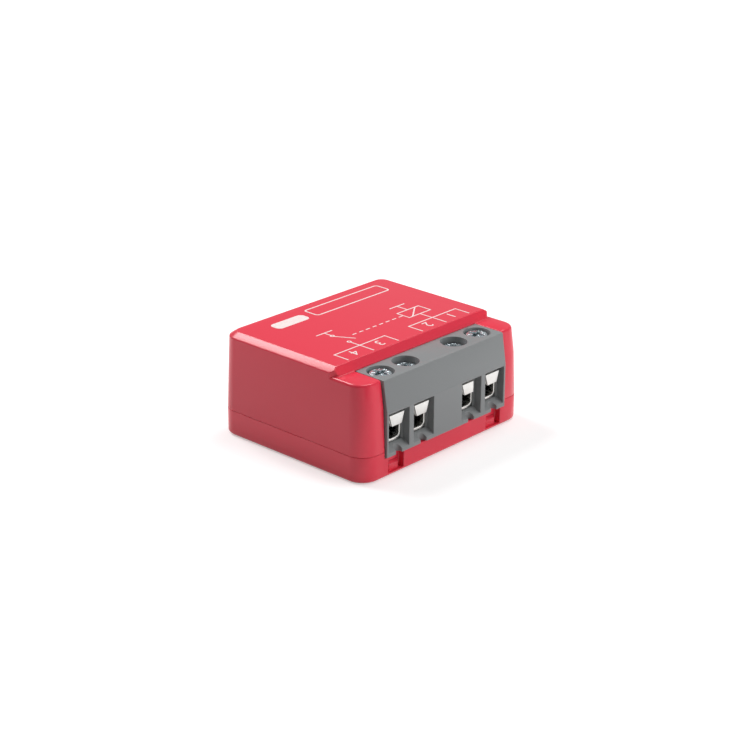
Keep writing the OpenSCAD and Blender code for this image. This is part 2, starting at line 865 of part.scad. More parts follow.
// Low-voltage output capacitor
module output_capacitor() {
    color("#3b4a63")
        translate([cap_x, output_cap_y, board_top_z]) can_capacitor(output_cap_d, output_cap_h);
}

// Ferrite drum of the supply choke
module choke_core() {
    color("#3c3c3e")
        translate([choke_x, choke_y, board_top_z])
            rotate_extrude()
                polygon([[0, 0], [choke_d / 2, 0], [choke_d / 2, choke_rim], [choke_hub_d / 2, choke_rim],
                         [choke_hub_d / 2, choke_h - choke_rim], [choke_d / 2, choke_h - choke_rim],
                         [choke_d / 2, choke_h], [0, choke_h]]);
}

// Copper winding in the choke's drum
module choke_winding() {
    z0 = board_top_z + choke_rim + thread_gap;
    color("#b5653a")
        translate([choke_x, choke_y, z0])
            difference() {
                cylinder(d = choke_d - 2 * choke_slack, h = choke_h - 2 * (choke_rim + thread_gap));
                translate([0, 0, -eps])
                    cylinder(d = choke_hub_d + 2 * thread_gap, h = choke_h);
            }
}

// Disc varistor on two leads
module varistor() {
    edge = 0.5;
    lead_y = 1.5;
    color("#2f5f96")
        translate([varistor_x, varistor_y, board_top_z]) {
            translate([-varistor_t / 2, 0, lead_h + varistor_d / 2])
                rotate([0, 90, 0])
                    rotate_extrude()
                        polygon([[0, 0], [varistor_d / 2 - edge, 0], [varistor_d / 2, edge],
                                 [varistor_d / 2, varistor_t - edge], [varistor_d / 2 - edge, varistor_t],
                                 [0, varistor_t]]);
            for (y = [-lead_y, lead_y])
                translate([0, y, 0]) cylinder(d = lead_d, h = lead_h + varistor_d / 4);
        }
}

// Fusible resistor on end, with its upper lead bent down to the board
module fusible_resistor() {
    body_dia = 2.2;
    waist_dia = 1.8;
    length = 6;
    cap = 1.2;
    reach = 1.9;
    taper = 0.3;
    bend = 0.7;
    top = lead_h + length + bend;
    color("#a9794a")
        translate([resistor_x, resistor_y, board_top_z]) {
            translate([0, 0, lead_h])
                rotate_extrude()
                    polygon([[0, 0], [body_dia / 2, 0], [body_dia / 2, cap], [waist_dia / 2, cap + taper],
                             [waist_dia / 2, length - cap - taper], [body_dia / 2, length - cap],
                             [body_dia / 2, length], [0, length]]);
            cylinder(d = lead_d, h = top);
            translate([-reach, 0, 0]) cylinder(d = lead_d, h = top);
            translate([-reach, 0, top])
                rotate([0, 90, 0]) cylinder(d = lead_d, h = reach);
            for (x = [-reach, 0])
                translate([x, 0, top]) sphere(d = lead_d);
        }
}

// Flat package with gull-wing leads along two sides
module chip(l, w, h, leads, pitch) {
    translate([-l / 2, -w / 2, chip_stand]) cube([l, w, h - chip_stand]);
    for (sy = [-1, 1], k = [0:leads - 1])
        translate([(k - (leads - 1) / 2) * pitch - chip_lead_w / 2,
                   sy * (w / 2 + chip_lead_l / 2 - eps) - chip_lead_l / 2, 0])
            cube([chip_lead_w, chip_lead_l, h / 2]);
}

// Bridge rectifier beside the radio board
module bridge_rectifier() {
    color("#1f2023")
        translate([bridge_x, bridge_y, board_top_z])
            chip(bridge_l, bridge_w, bridge_h, 2, bridge_pitch);
}

// Switching supply controller
module supply_chip() {
    color("#202124")
        translate([supply_x, chips_y, board_top_z])
            chip(supply_l, small_chip_w, small_chip_h, 4, supply_pitch);
}

// Energy metering chip
module metering_chip() {
    color("#202124")
        translate([metering_x, chips_y, board_top_z])
            chip(metering_l, small_chip_w, small_chip_h, 6, metering_pitch);
}

// Metal current shunt in the load path
module current_shunt() {
    foot = 0.9;
    rise = 0.35;
    thick = 0.4;
    color("#a8a29a")
        translate([shunt_x, chips_y, board_top_z]) {
            translate([-shunt_l / 2, -shunt_w / 2, rise]) cube([shunt_l, shunt_w, thick]);
            for (x = [-shunt_l / 2, shunt_l / 2 - foot])
                translate([x, -shunt_w / 2, 0]) cube([foot, shunt_w, rise + eps]);
        }
}

// Upright radio board along the back wall
module radio_board() {
    color("#1f4f6b")
        translate([radio_left_x, radio_face_y, board_top_z])
            cube([radio_w, radio_t, radio_h]);
}

// Metal can over the radio chip
module radio_shield() {
    sheet = 0.2;
    color("#c4c6c6")
        translate([radio_left_x + radio_margin, radio_face_y - shield_t, board_top_z + shield_rise])
            difference() {
                cube([shield_w, shield_t, shield_h]);
                translate([sheet, sheet, sheet])
                    cube([shield_w - 2 * sheet, shield_t, shield_h - 2 * sheet]);
            }
}

// Folded aerial track on the free end of the radio board
module radio_antenna() {
    folds = 6;
    x0 = radio_left_x + radio_margin + shield_w + antenna_gap;
    color("#c58b4f")
        translate([x0, radio_face_y - antenna_copper, board_top_z + antenna_rise]) {
            for (k = [0:folds])
                translate([k * antenna_fold, 0, 0]) cube([antenna_track, antenna_copper, antenna_reach]);
            for (k = [0:folds - 1])
                translate([k * antenna_fold, 0, k % 2 == 0 ? antenna_reach - antenna_track : 0])
                    cube([antenna_fold + antenna_track, antenna_copper, antenna_track]);
        }
}

// Angled pins that join the radio board to the main board
module radio_pins() {
    pins = 7;
    color("#d2b25c")
        for (k = [0:pins - 1])
            translate([radio_x + (k - (pins - 1) / 2) * header_pitch, radio_face_y, board_top_z]) {
                translate([-header_pin / 2, -header_pin, 0]) cube([header_pin, header_pin, header_rise]);
                translate([-header_pin / 2, -header_toe, 0]) cube([header_pin, header_toe, header_toe_h]);
            }
}

// Thin push switch on the underside of the board, above the button
module tact_switch() {
    color("#2b2c2e")
        translate([button_x, button_y, tact_z])
            difference() {
                translate([-tact_w / 2, -tact_w / 2, 0]) cube([tact_w, tact_w, tact_h]);
                translate([0, 0, -eps])
                    cylinder(d = plunger_d + 2 * button_gap, h = tact_h + 2 * eps);
            }
}

// Plunger of the push switch
module tact_plunger() {
    color("#d8d3c4")
        translate([button_x, button_y, plunger_z])
            cylinder(d = plunger_d, h = plunger_h);
}

// Recessed control button, kept in the floor by its flange
module control_button() {
    seat_z = ledge_z + flange_lift;
    color("#c92f3b")
        translate([button_x, button_y, 0])
            rotate_extrude()
                polygon([[0, button_sink], [button_d / 2, button_sink], [button_d / 2, seat_z],
                         [flange_d / 2, seat_z], [flange_d / 2, seat_z + flange_t],
                         [nub_d / 2, seat_z + flange_t], [nub_d / 2, plunger_z], [0, plunger_z]]);
}

// Indicator light on the underside of the board, beside the button
module status_led() {
    color("#f2efe2")
        translate([button_x - tact_w / 2 - led_gap - led_w, button_y - led_d / 2, board_z - led_h])
            cube([led_w, led_d, led_h]);
}

base_cover();
upper_housing();
terminal_block();
contact_strips();
clamp_cage(1);  // clamp_cage_1
clamp_cage(2);  // clamp_cage_2
clamp_cage(3);  // clamp_cage_3
clamp_cage(4);  // clamp_cage_4
terminal_screw(1);  // terminal_screw_1
terminal_screw(2);  // terminal_screw_2
terminal_screw(3);  // terminal_screw_3
terminal_screw(4);  // terminal_screw_4
main_board();
relay_base();
relay_cover();
relay_yoke();
relay_core();
relay_bobbin();
relay_coil();
relay_armature();
relay_contact_spring();
relay_fixed_contact();
relay_pins();
input_capacitor();
output_capacitor();
choke_core();
choke_winding();
varistor();
fusible_resistor();
bridge_rectifier();
supply_chip();
metering_chip();
current_shunt();
radio_board();
radio_shield();
radio_antenna();
radio_pins();
tact_switch();
tact_plunger();
control_button();
status_led();
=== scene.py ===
import math

import bmesh
import bpy
from mathutils import Matrix, Vector


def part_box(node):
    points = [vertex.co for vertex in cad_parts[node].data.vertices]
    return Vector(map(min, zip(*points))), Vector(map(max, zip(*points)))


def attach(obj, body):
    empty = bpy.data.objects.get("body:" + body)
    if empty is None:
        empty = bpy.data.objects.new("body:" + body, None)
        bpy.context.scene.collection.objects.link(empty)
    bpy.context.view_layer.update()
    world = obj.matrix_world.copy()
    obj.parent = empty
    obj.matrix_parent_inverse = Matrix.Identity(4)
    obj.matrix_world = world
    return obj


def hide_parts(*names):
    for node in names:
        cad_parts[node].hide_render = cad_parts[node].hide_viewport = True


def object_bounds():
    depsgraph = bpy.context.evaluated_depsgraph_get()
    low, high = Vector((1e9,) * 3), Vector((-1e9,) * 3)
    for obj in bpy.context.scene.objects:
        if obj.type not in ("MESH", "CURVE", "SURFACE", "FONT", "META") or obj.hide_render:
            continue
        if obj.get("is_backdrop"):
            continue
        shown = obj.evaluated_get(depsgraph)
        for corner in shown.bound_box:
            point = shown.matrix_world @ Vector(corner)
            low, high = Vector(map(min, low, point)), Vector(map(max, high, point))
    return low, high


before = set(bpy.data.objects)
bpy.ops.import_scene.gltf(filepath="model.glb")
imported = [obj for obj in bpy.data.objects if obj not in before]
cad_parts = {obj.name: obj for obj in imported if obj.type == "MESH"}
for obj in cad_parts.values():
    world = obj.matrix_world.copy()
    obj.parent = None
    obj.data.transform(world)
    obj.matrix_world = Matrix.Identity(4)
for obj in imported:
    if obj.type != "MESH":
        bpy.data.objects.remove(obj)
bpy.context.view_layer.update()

# Base cover: the lower half of the case, injection moulded in red polycarbonate with a fine
# spark texture. It carries the board on four pillars, and its lip and two front tongues snap
# into the upper housing.
MM = 0.001


def feed(tree, node, inputs):
    """Links a node's inputs to sockets or sets them to values, with colours as red, green and blue."""
    for key, value in inputs.items():
        socket = node.inputs[key]
        if isinstance(value, bpy.types.NodeSocket):
            tree.links.new(value, socket)
        elif socket.type == "RGBA":
            socket.default_value = (*value, 1.0)
        else:
            socket.default_value = value


def place(tree, kind, inputs=None, **settings):
    """A new node in a tree, with its settings made first and its inputs fed after them."""
    node = tree.nodes.new(kind)
    for key, value in settings.items():
        setattr(node, key, value)
    feed(tree, node, inputs or {})
    return node


def spot(tree):
    """A point's place on its piece, in metres."""
    return place(tree, "ShaderNodeTexCoord").outputs["Object"]


def speckle(tree, where, marks, detail, roughness=0.5):
    """A cloudy pattern of values about a half, with so many marks per metre."""
    return place(tree, "ShaderNodeTexNoise", {
        "Vector": where, "Scale": marks, "Detail": detail, "Roughness": roughness}).outputs[0]


def reckon(tree, operation, first, second):
    """One sum on two values, such as ADD or MULTIPLY."""
    return place(tree, "ShaderNodeMath", {0: first, 1: second}, operation=operation).outputs[0]


def spread(tree, value, span, onto):
    """A value carried from one span over to another, and held at that one's ends."""
    (low, high), (to_low, to_high) = span, onto
    return place(tree, "ShaderNodeMapRange", {0: value, 1: low, 2: high, 3: to_low, 4: to_high}).outputs[0]


def blend(tree, share, first, second):
    """The first colour where the share is 0, the second where it is 1, and a mix between."""
    return place(tree, "ShaderNodeMix", {0: share, 6: first, 7: second}, data_type="RGBA").outputs[2]


def shaded(tree, colour, tone):
    """A colour made lighter or darker by a factor."""
    return place(tree, "ShaderNodeHueSaturation", {"Color": colour, "Value": tone}).outputs[0]


def relief(tree, height, strength, depth):
    """The surface's normal, as a pattern of a strength and a depth raises it."""
    return place(tree, "ShaderNodeBump", {
        "Strength": strength, "Distance": depth, "Height": height}).outputs[0]


def node_group(name, kind, inputs, outputs):
    """An empty node group with named sockets: the group, the sockets that it is given and its output."""
    group = bpy.data.node_groups.new(name, kind)
    for in_out, sockets in (("INPUT", inputs), ("OUTPUT", outputs)):
        for label, value_kind in sockets.items():
            group.interface.new_socket(label, in_out=in_out, socket_type="NodeSocket" + value_kind)
    return group, group.nodes.new("NodeGroupInput").outputs, group.nodes.new("NodeGroupOutput")


def moulded_skin_group():
    """Moulded plastic: fine spark grain, a slow drift in tone, and edges that handling has polished."""
    group, given, result = node_group(
        "moulded_skin", "ShaderNodeTree",
        {"Colour": "Color", "Grain": "Float", "Roughness": "Float"},
        {"Colour": "Color", "Roughness": "Float", "Height": "Float"})
    drift_marks = 140.0
    tone_drift = (0.99, 1.01)
    gloss_drift = (-0.01, 0.01)
    edge_polish = 0.03
    polished_colour = (1.0, 0.86, 0.84)
    grain = speckle(group, spot(group), given["Grain"], detail=2.0, roughness=0.55)
    drift = speckle(group, spot(group), drift_marks, detail=1.0)
    edge = place(group, "ShaderNodeAttribute", attribute_name="edge_round").outputs["Fac"]
    polish = reckon(group, "MULTIPLY", edge, edge_polish)
    toned = shaded(group, given["Colour"], spread(group, drift, (0.0, 1.0), tone_drift))
    rough = reckon(group, "ADD", given["Roughness"], spread(group, drift, (0.0, 1.0), gloss_drift))
    feed(group, result, {
        "Colour": blend(group, polish, toned, polished_colour),
        "Roughness": reckon(group, "SUBTRACT", rough, polish),
        "Height": grain})
    return group


moulded_skin = moulded_skin_group()


def bare_tree(holder):
    """The emptied node tree of a new material or world."""
    holder.use_nodes = True
    holder.node_tree.nodes.clear()
    return holder.node_tree


def new_finish(name):
    """A new material with a Principled shader on its output: the material, its tree and the shader."""
    material = bpy.data.materials.new(name)
    tree = bare_tree(material)
    shader = place(tree, "ShaderNodeBsdfPrincipled")
    place(tree, "ShaderNodeOutputMaterial", {"Surface": shader.outputs[0]})
    return material, tree, shader


def moulded_finish(name, colour, roughness, grain=5200.0, bump=0.05):
    """A moulded plastic of one colour, with its grain given in marks per metre."""
    spark_depth = 0.02 * MM
    material, tree, shader = new_finish(name)
    skin = place(tree, "ShaderNodeGroup", {
        "Colour": colour, "Grain": grain, "Roughness": roughness}, node_tree=moulded_skin).outputs
    feed(tree, shader, {
        "Base Color": skin["Colour"], "Roughness": skin["Roughness"],
        "Normal": relief(tree, skin["Height"], bump, spark_depth)})
    return material


def set_out(name, data):
    """A new object at the scene's origin, for a mesh, a text, a light or a camera."""
    made = bpy.data.objects.new(name, data)
    bpy.context.scene.collection.objects.link(made)
    return made


def settled_mesh(piece):
    """The piece's mesh with its modifiers worked in."""
    bpy.context.view_layer.update()
    settled = bpy.context.evaluated_depsgraph_get()
    return bpy.data.meshes.new_from_object(
        piece.evaluated_get(settled), preserve_all_data_layers=True, depsgraph=settled)


def soft_edged(node, name, material, edge, body="root", sharp_deg=30.0, fine_at=(), keep_sharp=()):
    """The CAD solid as it leaves its tool: whole flat faces, and a small round on each sharp edge.
    Edges at a height of fine_at get a finer round, and those close to a point of keep_sharp get none.
    The point attribute edge_round is 1 on the rounds and 0 on the flats."""
    same_point = 0.0005 * MM
    same_plane = math.radians(0.5)
    near_point = 0.45 * MM
    near_height = 0.15 * MM
    fine_share = 0.25
    flats, rounds = 0, 1
    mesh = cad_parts[node].data.copy()
    mesh.materials.clear()
    for _ in (flats, rounds):
        mesh.materials.append(material)
    shell = bmesh.new()
    shell.from_mesh(mesh)
    bmesh.ops.remove_doubles(shell, verts=shell.verts, dist=same_point)
    bmesh.ops.dissolve_limit(shell, angle_limit=same_plane, verts=shell.verts, edges=shell.edges)
    share = shell.edges.layers.float.new("bevel_weight_edge")
    for line in shell.edges:
        ends = [end.co for end in line.verts]
        if line.calc_face_angle(0.0) < math.radians(sharp_deg):
            continue
        if any((end - point).length < near_point for end in ends for point in keep_sharp):
            line.smooth = False
            continue
        fine = any(all(abs(end.z - height) < near_height for end in ends) for height in fine_at)
        line[share] = fine_share if fine else 1.0
    shell.to_mesh(mesh)
    shell.free()
    mesh.shade_smooth()
    piece = set_out(name, mesh)
    rounding = piece.modifiers.new("edge_rounds", "BEVEL")
    rounding.width = edge
    rounding.segments = 3
    rounding.limit_method = "WEIGHT"
    rounding.use_clamp_overlap = False
    rounding.harden_normals = True
    rounding.material = rounds
    finished = settled_mesh(piece)
    piece.data = finished
    piece.modifiers.clear()
    finished.name = name
    on_round = [1.0] * len(finished.vertices)
    for face in finished.polygons:
        if face.material_index == flats:
            for corner in face.vertices:
                on_round[corner] = 0.0
        face.material_index = flats
    finished.materials.pop(index=rounds)
    finished.attributes.new("edge_round", "FLOAT", "POINT").data.foreach_set("value", on_round)
    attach(piece, body)
    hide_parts(node)
    return piece


seam_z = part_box("upper_housing")[0][2]
notch_floor_z = 0.5 * MM
case_red = moulded_finish("case_red_moulding", (0.78, 0.030, 0.064), 0.28)
base_cover = soft_edged("base_cover", "base_cover_moulding", case_red, edge=0.12 * MM,
                        fine_at=(seam_z, notch_floor_z))

# Main board: glass epoxy with a green solder mask over the copper. It rests on the cover's four
# pillars, and the legs of the contact strips and of the relay are soldered through it.


def board_finish(name, mask_colour, copper_colour, pitch, lay=(0.0, 0.0, 0.0)):
    """Solder mask over straight copper tracks at a pitch, on a board that the angles of lay turn flat."""
    track_width = pitch / 6
    track_length = pitch * 9
    copper_depth = 0.03 * MM
    material, tree, shader = new_finish(name)
    flat = place(tree, "ShaderNodeMapping", {"Vector": spot(tree), "Rotation": lay}).outputs[0]
    tracks = place(tree, "ShaderNodeTexBrick", {
        "Vector": flat, "Scale": 1.0, "Mortar Size": track_width, "Mortar Smooth": 0.1,
        "Brick Width": track_length, "Row Height": pitch},
        offset=0.37, offset_frequency=2, squash=0.6, squash_frequency=3).outputs["Fac"]
    weave = speckle(tree, spot(tree), 3200.0, detail=2.0)
    feed(tree, shader, {
        "Base Color": blend(tree, tracks, mask_colour, copper_colour),
        "Roughness": spread(tree, weave, (0.3, 0.7), (0.28, 0.42)),
        "Normal": relief(tree, tracks, 0.3, copper_depth)})
    return material


def dress(material, *names):
    """Gives a finish to CAD pieces that keep their own shape."""
    for name in names:
        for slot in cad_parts[name].material_slots:
            slot.material = material


dress(board_finish("main_board_mask", (0.012, 0.085, 0.035), (0.030, 0.17, 0.065), 0.6 * MM), "main_board")

# Relay: a black moulded base and cover, with an iron yoke, core and armature, a white bobbin wound
# with enamelled wire, and bronze contact blades. Its pins are soldered through the board.


def plated_metal_group():
    """Plated metal: streaks along the drawn direction, a cloudy tint, an uneven polish, and painted shade
    that darkens it where its mask is above 0."""
    group, given, result = node_group(
        "plated_metal", "ShaderNodeTree",
        {"Colour": "Color", "Tint": "Color", "Streaks": "Vector", "Roughness": "Float", "Painted Shade": "Float"},
        {"Colour": "Color", "Roughness": "Float", "Height": "Float"})
    cloud_marks = 520.0
    cloud_span = (0.35, 0.65)
    streak_span = (0.2, 0.8)
    tone_drift = (0.94, 1.03)
    gloss_drift = (-0.04, 0.06)
    painted_shade_colour = (0.045, 0.055, 0.06)
    drawn = place(group, "ShaderNodeVectorMath", {0: spot(group), 1: given["Streaks"]}, operation="MULTIPLY")
    streak = speckle(group, drawn.outputs[0], 1.0, detail=3.0, roughness=0.6)
    cloud = speckle(group, spot(group), cloud_marks, detail=3.0)
    tinted = blend(group, spread(group, cloud, cloud_span, (0.0, 1.0)), given["Colour"], given["Tint"])
    toned = shaded(group, tinted, spread(group, streak, streak_span, tone_drift))
    uneven = spread(group, streak, streak_span, gloss_drift)
    feed(group, result, {
        # Painted shade: the colour goes dark where the mask is above 0.
        "Colour": blend(group, given["Painted Shade"], toned, painted_shade_colour),
        "Roughness": reckon(group, "ADD", given["Roughness"], uneven),
        "Height": streak})
    return group


plated_metal = plated_metal_group()


def plated_finish(name, colour, tint, roughness, streaks=(2600.0, 2600.0, 2600.0), bump=0.06, painted_shade=None):
    """A plated metal with its streaks given in marks per metre along each axis. Where painted shade darkens
    some of it, the function given for that builds the mask of the shade in the material's tree."""
    streak_depth = 0.01 * MM
    material, tree, shader = new_finish(name)
    plate = place(tree, "ShaderNodeGroup", {
        "Colour": colour, "Tint": tint, "Streaks": streaks, "Roughness": roughness,
        "Painted Shade": painted_shade(tree) if painted_shade else 0.0}, node_tree=plated_metal).outputs
    feed(tree, shader, {
        "Base Color": plate["Colour"], "Metallic": 1.0, "Roughness": plate["Roughness"],
        "Normal": relief(tree, plate["Height"], bump, streak_depth)})
    return material


def grown(piece, tree, values):
    """Runs a node tree on a piece with its named inputs set, and keeps the result as a plain mesh."""
    growth = piece.modifiers.new(tree.name, "NODES")
    growth.node_group = tree
    for item in tree.interface.items_tree:
        if item.in_out == "INPUT" and item.name in values:
            growth[item.identifier] = values[item.name]
    piece.data = settled_mesh(piece)
    piece.modifiers.clear()
    piece.data.name = piece.name


def coat(tree, geometry, material, result):
    """Ends a geometry tree with real meshes in one material."""
    real = place(tree, "GeometryNodeRealizeInstances", {"Geometry": geometry}).outputs[0]
    coated = place(tree, "GeometryNodeSetMaterial", {"Geometry": real, "Material": material}).outputs[0]
    feed(tree, result, {"Geometry": coated})


def wire_winding_tree():
    """The outer layer of a winding as one wire in close turns, over a ring for the layers below it."""
    tree, given, result = node_group(
        "wire_winding", "GeometryNodeTree",
        {"Wire Radius": "Float", "Turn Radius": "Float", "Turns": "Float", "Rise": "Float",
         "Ring Radius": "Float", "Ring Thickness": "Float", "Ring Length": "Float",
         "Middle": "Vector", "Lay": "Vector", "Enamel": "Material"},
        {"Geometry": "Geometry"})
    helix = place(tree, "GeometryNodeCurveSpiral", {
        "Resolution": 32, "Rotations": given["Turns"], "Start Radius": given["Turn Radius"],
        "End Radius": given["Turn Radius"], "Height": given["Rise"], "Reverse": False}).outputs[0]
    section = place(tree, "GeometryNodeCurvePrimitiveCircle", {
        "Resolution": 6, "Radius": given["Wire Radius"]}).outputs[0]
    wire = place(tree, "GeometryNodeCurveToMesh", {
        "Curve": helix, "Profile Curve": section, "Fill Caps": True}).outputs[0]
    half_down = place(tree, "ShaderNodeCombineXYZ", {"Z": reckon(tree, "MULTIPLY", given["Rise"], -0.5)})
    centred = place(tree, "GeometryNodeTransform", {
        "Geometry": wire, "Translation": half_down.outputs[0]}).outputs[0]
    loop = place(tree, "GeometryNodeCurvePrimitiveCircle", {
        "Resolution": 64, "Radius": given["Ring Radius"]}).outputs[0]
    block = place(tree, "GeometryNodeCurvePrimitiveQuadrilateral", {
        "Width": given["Ring Thickness"], "Height": given["Ring Length"]}).outputs[0]
    ring = place(tree, "GeometryNodeCurveToMesh", {"Curve": loop, "Profile Curve": block}).outputs[0]
    flat = place(tree, "GeometryNodeSetShadeSmooth", {"Geometry": ring, "Shade Smooth": False}).outputs[0]
    joined = place(tree, "GeometryNodeJoinGeometry", {0: centred})
    feed(tree, joined, {0: flat})
    laid = place(tree, "GeometryNodeTransform", {
        "Geometry": joined.outputs[0], "Translation": given["Middle"], "Rotation": given["Lay"]}).outputs[0]
    coat(tree, laid, given["Enamel"], result)
    return tree


wire_winding = wire_winding_tree()
winding_enamel = plated_finish("winding_enamel", (0.62, 0.20, 0.07), (0.46, 0.13, 0.05), 0.26)


def wind(node, axis, hub_radius, wire):
    """Replaces a winding's solid by real turns of wire in the same space, along X (0) or Z (2)."""
    low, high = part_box(node)
    length = high[axis] - low[axis]
    outer = (high[1] - low[1]) / 2
    under = outer - 0.6 * wire
    turns = math.floor(length / wire) - 1
    piece = set_out(node + "_wire", bpy.data.meshes.new(node + "_wire"))
    grown(piece, wire_winding, {
        "Wire Radius": wire / 2, "Turn Radius": outer - wire / 2, "Turns": float(turns),
        "Rise": length - wire, "Ring Radius": (hub_radius + under) / 2,
        "Ring Thickness": under - hub_radius, "Ring Length": length,
        "Middle": tuple((a + b) / 2 for a, b in zip(low, high)),
        "Lay": (0.0, math.pi / 2 if axis == 0 else 0.0, 0.0), "Enamel": winding_enamel})
    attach(piece, "root")
    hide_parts(node)


dress(moulded_finish("relay_black_moulding", (0.016, 0.016, 0.018), 0.38), "relay_base", "relay_cover")
dress(plated_finish("relay_iron_plate", (0.56, 0.55, 0.53), (0.48, 0.46, 0.43), 0.36),
      "relay_yoke", "relay_core", "relay_armature")
dress(moulded_finish("bobbin_white_moulding", (0.72, 0.71, 0.66), 0.42), "relay_bobbin")
wind("relay_coil", axis=0, hub_radius=1.55 * MM, wire=0.18 * MM)
dress(plated_finish("contact_bronze_sheet", (0.72, 0.47, 0.26), (0.62, 0.38, 0.19), 0.3),
      "relay_contact_spring", "relay_fixed_contact")
dress(plated_finish("pin_tin_plate", (0.70, 0.70, 0.69), (0.60, 0.60, 0.58), 0.34), "relay_pins")

# Supply parts: two can capacitors in printed sleeves, a ferrite choke, a blue disc varistor, a
# standing fusible resistor, a bridge and two chips. All are soldered to the board's upper side.


def along_axes(tree):
    """A point's place on its piece along X, Y and Z."""
    return place(tree, "ShaderNodeSeparateXYZ", {0: spot(tree)}).outputs


def sleeve_finish(name, node, sleeve_colour, stripe_colour):
    """A can in a shrunk sleeve with a stripe down one side, and bare aluminium on its top."""
    low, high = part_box(node)
    stripe_x = low[0] * 0.18 + high[0] * 0.82
    bare_z = high[2] - 0.06 * MM
    aluminium = (0.74, 0.74, 0.75)
    material, tree, shader = new_finish(name)
    along = along_axes(tree)
    stripe = reckon(tree, "GREATER_THAN", along["X"], stripe_x)
    bare = reckon(tree, "GREATER_THAN", along["Z"], bare_z)
    film = speckle(tree, spot(tree), 2400.0, detail=2.0)
    feed(tree, shader, {
        "Base Color": blend(tree, bare, blend(tree, stripe, sleeve_colour, stripe_colour), aluminium),
        "Metallic": bare,
        "Roughness": spread(tree, film, (0.3, 0.7), (0.30, 0.36))})
    return material


def banded_finish(name, node, body_width, body_top, ground, bands):
    """A standing lacquered body with coloured bands at shares of its height, and a bare tinned lead that
    bends over its top and comes down beside it, on the side of lower X."""
    low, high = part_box(node)
    band_width = 0.06
    tin = (0.68, 0.68, 0.67)
    material, tree, shader = new_finish(name)
    along = along_axes(tree)
    ramp = place(tree, "ShaderNodeValToRGB", {0: spread(tree, along["Z"], (low[2], body_top), (0.0, 1.0))})
    ramp.color_ramp.interpolation = "CONSTANT"
    ramp.color_ramp.elements[0].color = (*ground, 1.0)
    ramp.color_ramp.elements[1].position = 0.99
    ramp.color_ramp.elements[1].color = (*ground, 1.0)
    for start, colour in bands:
        ramp.color_ramp.elements.new(start).color = (*colour, 1.0)
        ramp.color_ramp.elements.new(start + band_width).color = (*ground, 1.0)
    beside = reckon(tree, "LESS_THAN", along["X"], high[0] - body_width)
    over = reckon(tree, "GREATER_THAN", along["Z"], body_top + 0.02 * MM)
    lead = reckon(tree, "MAXIMUM", beside, over)
    lacquer = speckle(tree, spot(tree), 1500.0, detail=2.0)
    feed(tree, shader, {
        "Base Color": blend(tree, lead, ramp.outputs[0], tin),
        "Metallic": lead,
        "Roughness": spread(tree, lacquer, (0.3, 0.7), (0.3, 0.44))})
    return material


for can in ("input_capacitor", "output_capacitor"):
    dress(sleeve_finish(can + "_sleeve", can, (0.02, 0.022, 0.03), (0.42, 0.42, 0.43)), can)
dress(moulded_finish("choke_ferrite", (0.045, 0.044, 0.046), 0.62, grain=2600.0, bump=0.3), "choke_core")
wind("choke_winding", axis=2, hub_radius=1.05 * MM, wire=0.25 * MM)
dress(moulded_finish("varistor_blue_dip", (0.03, 0.10, 0.36), 0.28, grain=1400.0, bump=0.2), "varistor")
resistor_width = 2.25 * MM
resistor_bend = 1.0 * MM
resistor_bands = [(0.36, (0.35, 0.05, 0.02)), (0.50, (0.02, 0.02, 0.02)), (0.64, (0.55, 0.38, 0.06))]
dress(banded_finish("resistor_tan_lacquer", "fusible_resistor", resistor_width,
                    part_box("fusible_resistor")[1][2] - resistor_bend, (0.48, 0.33, 0.17), resistor_bands),
      "fusible_resistor")
dress(moulded_finish("chip_black_epoxy", (0.020, 0.020, 0.021), 0.52, grain=3600.0, bump=0.2),
      "bridge_rectifier", "supply_chip", "metering_chip")
dress(plated_finish("shunt_alloy", (0.60, 0.52, 0.44), (0.50, 0.44, 0.38), 0.38), "current_shunt")

# Radio board: an upright blue board with a soldered tin shield and a printed copper antenna. Its
# row of gold-plated pins stands on the main board.
dress(board_finish("radio_board_mask", (0.012, 0.03, 0.12), (0.024, 0.06, 0.22), 0.45 * MM,
                   lay=(math.pi / 2, 0.0, 0.0)), "radio_board")
dress(plated_finish("shield_tin_plate", (0.74, 0.74, 0.72), (0.64, 0.64, 0.62), 0.3), "radio_shield")
dress(plated_finish("antenna_copper", (0.78, 0.40, 0.20), (0.66, 0.32, 0.15), 0.3), "radio_antenna")
dress(plated_finish("header_gold_plate", (0.83, 0.60, 0.25), (0.72, 0.50, 0.20), 0.26), "radio_pins")

# Push switch and light: a low switch in a black moulded frame with a white plunger, and a clear epoxy
# chip light. Both sit under the board, above the button in the cover's floor.
dress(moulded_finish("switch_black_moulding", (0.02, 0.02, 0.021), 0.45, grain=3600.0), "tact_switch")
dress(moulded_finish("plunger_white_moulding", (0.72, 0.71, 0.66), 0.4, grain=4200.0), "tact_plunger")
dress(moulded_finish("light_clear_epoxy", (0.80, 0.80, 0.72), 0.2, grain=2000.0), "status_led")

# Terminal block: a grey glass-filled polyamide moulding that slides into the front of the case.
# It has four wire windows and four screw wells.
block_grey = moulded_finish("terminal_grey_moulding", (0.230, 0.240, 0.244), 0.46, grain=4200.0, bump=0.08)
terminal_block = soft_edged("terminal_block", "terminal_block_moulding", block_grey, edge=0.09 * MM)

# Contact strips: stamped from tinned brass strip. Each has a turned-up tab in its window, a flat
# bar through the cage and a leg that is soldered to the board.
strip_tin = plated_finish("contact_strip_tin", (0.82, 0.81, 0.785), (0.76, 0.75, 0.725), 0.30,
                          streaks=(500.0, 1500.0, 1500.0), bump=0.03)
contact_strips = soft_edged("contact_strips", "contact_strips_stamping", strip_tin, edge=0.05 * MM)

# Clamp cages: bent from steel strip and nickel plated, with painted shade that darkens them behind the
# mouth, and a tapped top plate. Each cage hangs on its screw and rises to press the wire against the contact
# strip.
pole_count = 4
cage_front_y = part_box("clamp_cage_1")[0][1]


